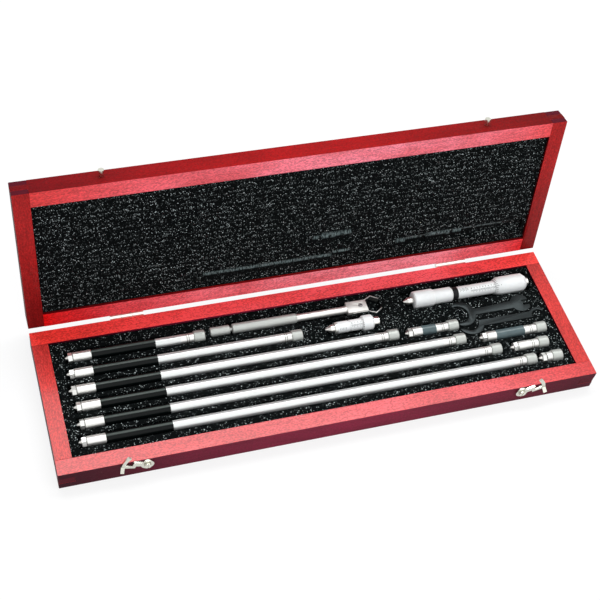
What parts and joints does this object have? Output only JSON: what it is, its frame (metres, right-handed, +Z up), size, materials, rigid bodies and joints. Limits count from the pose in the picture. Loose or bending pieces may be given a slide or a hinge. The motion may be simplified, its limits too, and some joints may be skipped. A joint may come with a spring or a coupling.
{
  "type": "cased tubular inside micrometer set",
  "caption": "Tubular inside micrometer set: measuring heads, handle, extension rods and spanners bedded in black foam in a hinged red wooden case with hooks, lid open.",
  "frame": {"origin": "centre of the case's underside", "axes": "+X along the case to its right end, +Y towards the hinges, +Z up"},
  "size_m": [0.423, 0.1707, 0.149],
  "materials": {
    "case_wood": "red stain under clear lacquer",
    "panel_wood": "red stain under clear lacquer",
    "foam": "matt, speckled",
    "hinge_metal": "plated",
    "hook_metal": "nickel plated",
    "tube_metal": "satin",
    "fitting_metal": "bright turned",
    "contact_metal": "hardened, ground",
    "knurled_metal": "knurled",
    "satin_chrome": "satin",
    "screw_steel": "ground",
    "black_ring": "matt",
    "grip_black": "satin",
    "grip_grey": "satin",
    "spring_steel": "spring temper",
    "spanner_steel": "black oxide"
  },
  "bodies": {
    "base": {"base_front_rail": "case_wood", "base_back_rail": "case_wood", "base_left_stile": "case_wood", "base_right_stile": "case_wood", "base_bottom_panel": "panel_wood", "base_foam": "foam", "hinge_base_leaves": "hinge_metal", "hinge_pins": "hinge_metal", "hinge_screws_base": "hinge_metal", "hook_screws": "hook_metal", "rod_4_inch": "tube_metal", "rod_7_inch": "tube_metal", "rod_10_inch": "tube_metal", "rod_12_inch": "tube_metal", "rod_13_inch": "tube_metal", "rod_14_inch": "tube_metal", "rod_1_5_inch": "tube_metal", "rod_2_inch": "tube_metal", "rod_front_fittings": "fitting_metal", "rod_rear_fittings": "fitting_metal", "rod_1_inch": "fitting_metal", "rod_0_5_inch": "fitting_metal", "small_head_ring": "fitting_metal", "handle_rod": "fitting_metal", "handle_block": "fitting_metal", "rod_contacts": "contact_metal", "large_head_contact": "contact_metal", "small_head_contact": "contact_metal", "rod_collars": "knurled_metal", "handle_grip": "knurled_metal", "large_head_collar": "satin_chrome", "large_head_body": "satin_chrome", "large_head_sleeve": "satin_chrome", "small_head_sleeve": "satin_chrome", "handle_clip_screw": "screw_steel", "large_head_ring": "black_ring", "rod_grips": "grip_black", "short_rod_grips": "grip_grey", "handle_clip": "spring_steel", "spanner_upper": "spanner_steel", "spanner_lower": "spanner_steel"},
    "lid": {"lid_front_rail": "case_wood", "lid_back_rail": "case_wood", "lid_left_stile": "case_wood", "lid_right_stile": "case_wood", "lid_top_panel": "panel_wood", "lid_foam": "foam", "hinge_lid_leaves": "hinge_metal", "hinge_screws_lid": "hinge_metal", "lid_studs": "hook_metal"},
    "hook_left": {"hook_left": "hook_metal"},
    "hook_right": {"hook_right": "hook_metal"},
    "large_screw": {"large_head_screw": "screw_steel"},
    "large_thimble": {"large_head_thimble": "satin_chrome", "large_head_anvil": "contact_metal"},
    "small_screw": {"small_head_screw": "screw_steel"},
    "small_thimble": {"small_head_thimble": "satin_chrome", "small_head_anvil": "contact_metal"},
    "handle_knob": {"handle_knob": "knurled_metal"}
  },
  "joints": [
    {"name": "lid_hinge", "type": "hinge", "parent": "base", "child": "lid", "pos_m": [0, 0.06522, 0.0182], "axis": [1, 0, 0], "range_deg": [0, 99.9]},
    {"name": "hook_left_pivot", "type": "hinge", "parent": "base", "child": "hook_left", "pos_m": [-0.1476, -0.06415, 0.0132], "axis": [0, 1, 0], "range_deg": [-30, 72]},
    {"name": "hook_right_pivot", "type": "hinge", "parent": "base", "child": "hook_right", "pos_m": [0.1476, -0.06415, 0.0132], "axis": [0, -1, 0], "range_deg": [-30, 72]},
    {"name": "large_travel", "type": "slide", "parent": "base", "child": "large_screw", "axis": [1, 0, 0], "range_m": [-0.0224, 0.003]},
    {"name": "large_spin", "type": "hinge", "parent": "large_screw", "child": "large_thimble", "pos_m": [0.178, 0.0364, 0.0152], "axis": [1, 0, 0], "range_deg": [-12800, 1750]},
    {"name": "small_travel", "type": "slide", "parent": "base", "child": "small_screw", "axis": [1, 0, 0], "range_m": [-0.0078, 0.0008]},
    {"name": "small_spin", "type": "hinge", "parent": "small_screw", "child": "small_thimble", "pos_m": [0.0485, 0.0225, 0.0152], "axis": [1, 0, 0], "range_deg": [-4480, 480]},
    {"name": "knob_spin", "type": "hinge", "parent": "base", "child": "handle_knob", "pos_m": [-0.0682, 0.0382, 0.0152], "axis": [1, 0, 0], "continuous": true}
  ],
  "couplings": [
    {"joint": "large_spin", "follows": "large_travel", "rad_per_m": 9894.8},
    {"joint": "small_spin", "follows": "small_travel", "rad_per_m": 9894.8}
  ]
}
